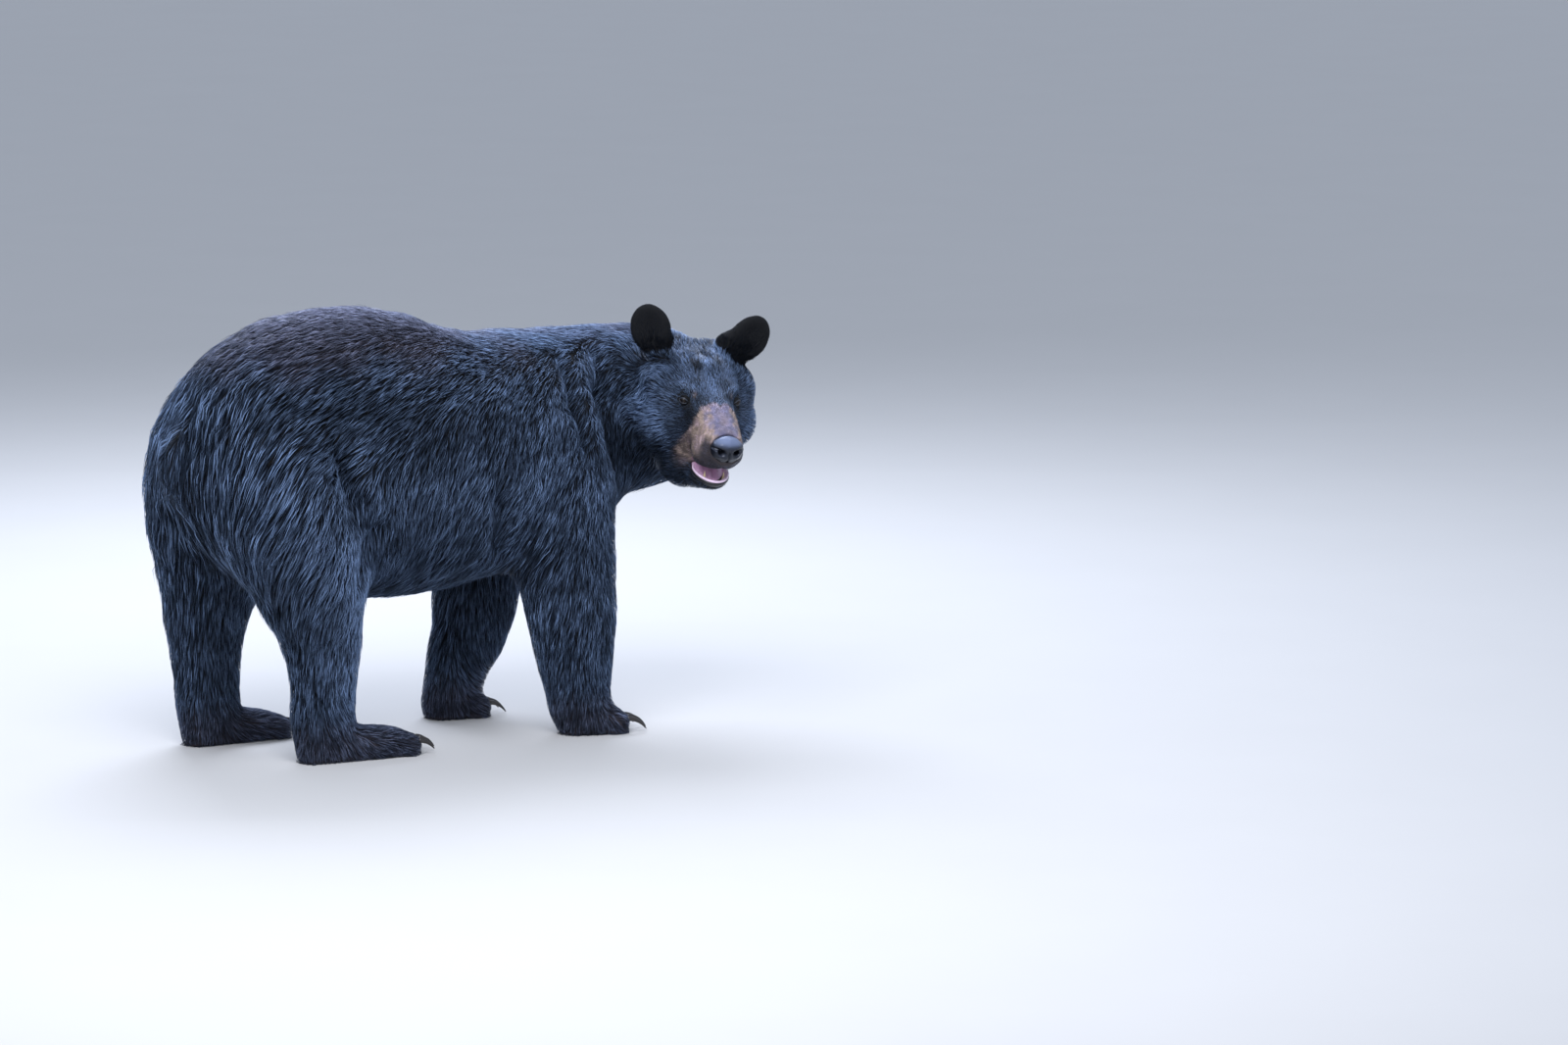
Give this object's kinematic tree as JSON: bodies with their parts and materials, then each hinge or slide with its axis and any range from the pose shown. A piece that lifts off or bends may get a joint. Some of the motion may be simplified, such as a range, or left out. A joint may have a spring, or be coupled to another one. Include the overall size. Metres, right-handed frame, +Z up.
{
  "type": "black bear model",
  "caption": "Life-size standing black bear as a still museum-type model, head turned to its right, mouth a little open.",
  "frame": {"origin": "middle of the bounding box's footprint, on the floor under the soles", "axes": "+X the way the body faces, +Y the bear's left, +Z up"},
  "size_m": [1.3546, 0.7476, 0.937],
  "materials": {
    "black_fur": "coarse black fur with a cool sheen, tan on the muzzle",
    "nose_leather": "damp dark nose skin",
    "claw_horn": "dark horn, half gloss",
    "eye_brown": "dark brown wet eye",
    "tongue_pink": "wet mauve-pink tongue",
    "tooth_ivory": "yellowed ivory enamel"
  },
  "bodies": {
    "root": {"head": "black_fur", "jaw": "black_fur", "ear_left": "black_fur", "ear_right": "black_fur", "neck": "black_fur", "chest": "black_fur", "belly": "black_fur", "rump": "black_fur", "tail": "black_fur", "upper_arm_right": "black_fur", "upper_arm_left": "black_fur", "forearm_right": "black_fur", "forearm_left": "black_fur", "forepaw_right": "black_fur", "forepaw_left": "black_fur", "thigh_right": "black_fur", "thigh_left": "black_fur", "shank_right": "black_fur", "shank_left": "black_fur", "hindpaw_right": "black_fur", "hindpaw_left": "black_fur", "nose": "nose_leather", "tongue": "tongue_pink", "eye_right": "eye_brown", "canine_right": "tooth_ivory", "eye_left": "eye_brown", "canine_left": "tooth_ivory", "forepaw_right_claw_1": "claw_horn", "forepaw_right_claw_2": "claw_horn", "forepaw_right_claw_3": "claw_horn", "forepaw_right_claw_4": "claw_horn", "forepaw_right_claw_5": "claw_horn", "forepaw_left_claw_1": "claw_horn", "forepaw_left_claw_2": "claw_horn", "forepaw_left_claw_3": "claw_horn", "forepaw_left_claw_4": "claw_horn", "forepaw_left_claw_5": "claw_horn", "hindpaw_right_claw_1": "claw_horn", "hindpaw_right_claw_2": "claw_horn", "hindpaw_right_claw_3": "claw_horn", "hindpaw_right_claw_4": "claw_horn", "hindpaw_right_claw_5": "claw_horn", "hindpaw_left_claw_1": "claw_horn", "hindpaw_left_claw_2": "claw_horn", "hindpaw_left_claw_3": "claw_horn", "hindpaw_left_claw_4": "claw_horn", "hindpaw_left_claw_5": "claw_horn"}
  },
  "joints": []
}
